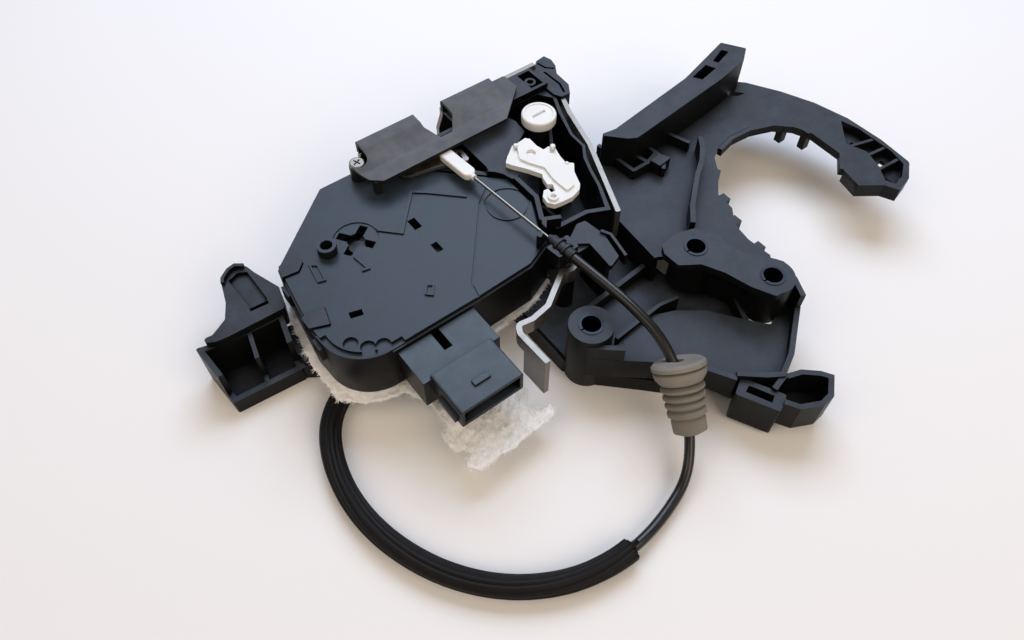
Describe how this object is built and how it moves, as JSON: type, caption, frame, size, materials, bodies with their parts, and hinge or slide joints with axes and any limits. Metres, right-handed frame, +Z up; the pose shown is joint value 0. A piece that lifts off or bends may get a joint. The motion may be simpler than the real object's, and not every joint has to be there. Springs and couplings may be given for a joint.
{
  "type": "door latch actuator",
  "caption": "Vehicle door latch with its electric actuator case, white lock levers, release cable with grommet, plug socket and a black moulded carrier with a curved arm.",
  "frame": {"origin": "on the bore axis of the steel bush in the lower left eyelet, at the level of the surface that the unit lies on", "axes": "+Z up, the cover's normal; +X along the connector's long edge, from the case towards the carrier's curved arm; +Y from the connector towards the steel latch face plate"},
  "size_m": [0.3525, 0.2388, 0.056],
  "materials": {
    "carrier_plastic": "moulded glass-filled nylon, fine grain",
    "case_plastic": "black moulded plastic, fine grain",
    "cover_plastic": "dark blue-grey moulded plastic, satin",
    "frame_plastic": "black moulded plastic",
    "shield_plastic": "dark grey matte moulded plastic",
    "connector_plastic": "black moulded plastic, satin",
    "white_plastic": "white acetal",
    "switch_plastic": "black moulded switch body",
    "zinc_steel": "zinc-plated pressed steel",
    "dark_steel": "hardened steel plate",
    "spring_steel": "drawn steel wire",
    "bush_steel": "rolled steel strip, dark",
    "brass": "machined brass",
    "terminal_metal": "tinned terminal strip",
    "felt": "off-white needled felt",
    "sheath_plastic": "extruded black plastic",
    "sleeve_rubber": "extruded black soft sleeve",
    "grommet_rubber": "warm grey moulded rubber"
  },
  "bodies": {
    "base": {"carrier_bracket": "carrier_plastic", "compression_bush_1": "bush_steel", "compression_bush_2": "bush_steel", "compression_bush_3": "bush_steel", "felt_pad": "felt", "rear_case": "case_plastic", "front_cover": "cover_plastic", "case_screws": "zinc_steel", "latch_frame": "frame_plastic", "latch_shield": "shield_plastic", "shield_screw": "zinc_steel", "face_plate": "zinc_steel", "backing_plate": "zinc_steel", "catch_pin": "zinc_steel", "pawl_pin": "zinc_steel", "catch_spring": "spring_steel", "pawl_spring": "spring_steel", "gear_pin": "spring_steel", "motor": "zinc_steel", "microswitch_1": "switch_plastic", "microswitch_2": "switch_plastic", "connector_housing": "connector_plastic", "terminal_pins": "terminal_metal", "cable_clip": "case_plastic", "cable_ferrule": "case_plastic", "cable_sheath": "sheath_plastic", "cable_sleeve": "sleeve_rubber", "cable_grommet": "grommet_rubber", "cable_nipple": "zinc_steel"},
    "catch_body": {"catch": "dark_steel", "catch_jacket": "case_plastic"},
    "pawl_body": {"pawl": "dark_steel"},
    "cap_body": {"override_cap": "white_plastic"},
    "gear_body": {"drive_gear": "case_plastic"},
    "worm_body": {"motor_worm": "brass"},
    "lock_body": {"lock_lever": "white_plastic"},
    "outside_body": {"outside_release_lever": "zinc_steel"},
    "wire_body": {"cable_bead": "white_plastic", "inner_wire": "spring_steel"},
    "inside_body": {"inside_release_lever": "zinc_steel"}
  },
  "joints": [
    {"name": "catch_turn", "type": "hinge", "parent": "base", "child": "catch_body", "pos_m": [-0.005, 0.14, 0.025], "axis": [0, 1, 0], "range_deg": [0, 42], "stiffness_Nm_per_rad": 0.02, "springref_deg": -34.38},
    {"name": "pawl_turn", "type": "hinge", "parent": "base", "child": "pawl_body", "pos_m": [0.036, 0.14, 0.018], "axis": [0, -1, 0], "range_deg": [0, 7], "stiffness_Nm_per_rad": 0.02, "springref_deg": -34.38},
    {"name": "override_turn", "type": "hinge", "parent": "base", "child": "cap_body", "pos_m": [0.057, 0.11, 0.05], "axis": [0, 0, 1], "range_deg": [-45, 45]},
    {"name": "gear_turn", "type": "hinge", "parent": "base", "child": "gear_body", "pos_m": [-0.0595, 0.1009, 0.0285], "axis": [0, 0, 1], "range_deg": [0, 60]},
    {"name": "worm_turn", "type": "hinge", "parent": "base", "child": "worm_body", "pos_m": [-0.057, 0.0805, 0.0285], "axis": [1, 0, 0], "range_deg": [-2161, 0]},
    {"name": "lock_turn", "type": "hinge", "parent": "base", "child": "lock_body", "pos_m": [0.041, 0.079, 0.046], "axis": [0, 0, 1], "range_deg": [0, 15.1]},
    {"name": "outside_release_turn", "type": "hinge", "parent": "base", "child": "outside_body", "pos_m": [0.011, 0.031, 0.036], "axis": [0, 0, 1], "range_deg": [0, 12], "stiffness_Nm_per_rad": 0.05, "springref_deg": -17.19},
    {"name": "wire_pull", "type": "slide", "parent": "base", "child": "wire_body", "axis": [0.0872, -0.9962, 0], "range_m": [0, 0.01], "stiffness_N_per_m": 50, "springref_m": -0.01},
    {"name": "inside_release_turn", "type": "hinge", "parent": "base", "child": "inside_body", "pos_m": [-0.016, 0.1225, 0.0447], "axis": [0, 0, 1], "range_deg": [-21.5, 0]}
  ],
  "couplings": [
    {"joint": "worm_turn", "follows": "gear_turn", "ratio": -36},
    {"joint": "lock_turn", "follows": "gear_turn", "ratio": 0.25},
    {"joint": "inside_release_turn", "follows": "wire_pull", "rad_per_m": -37}
  ]
}
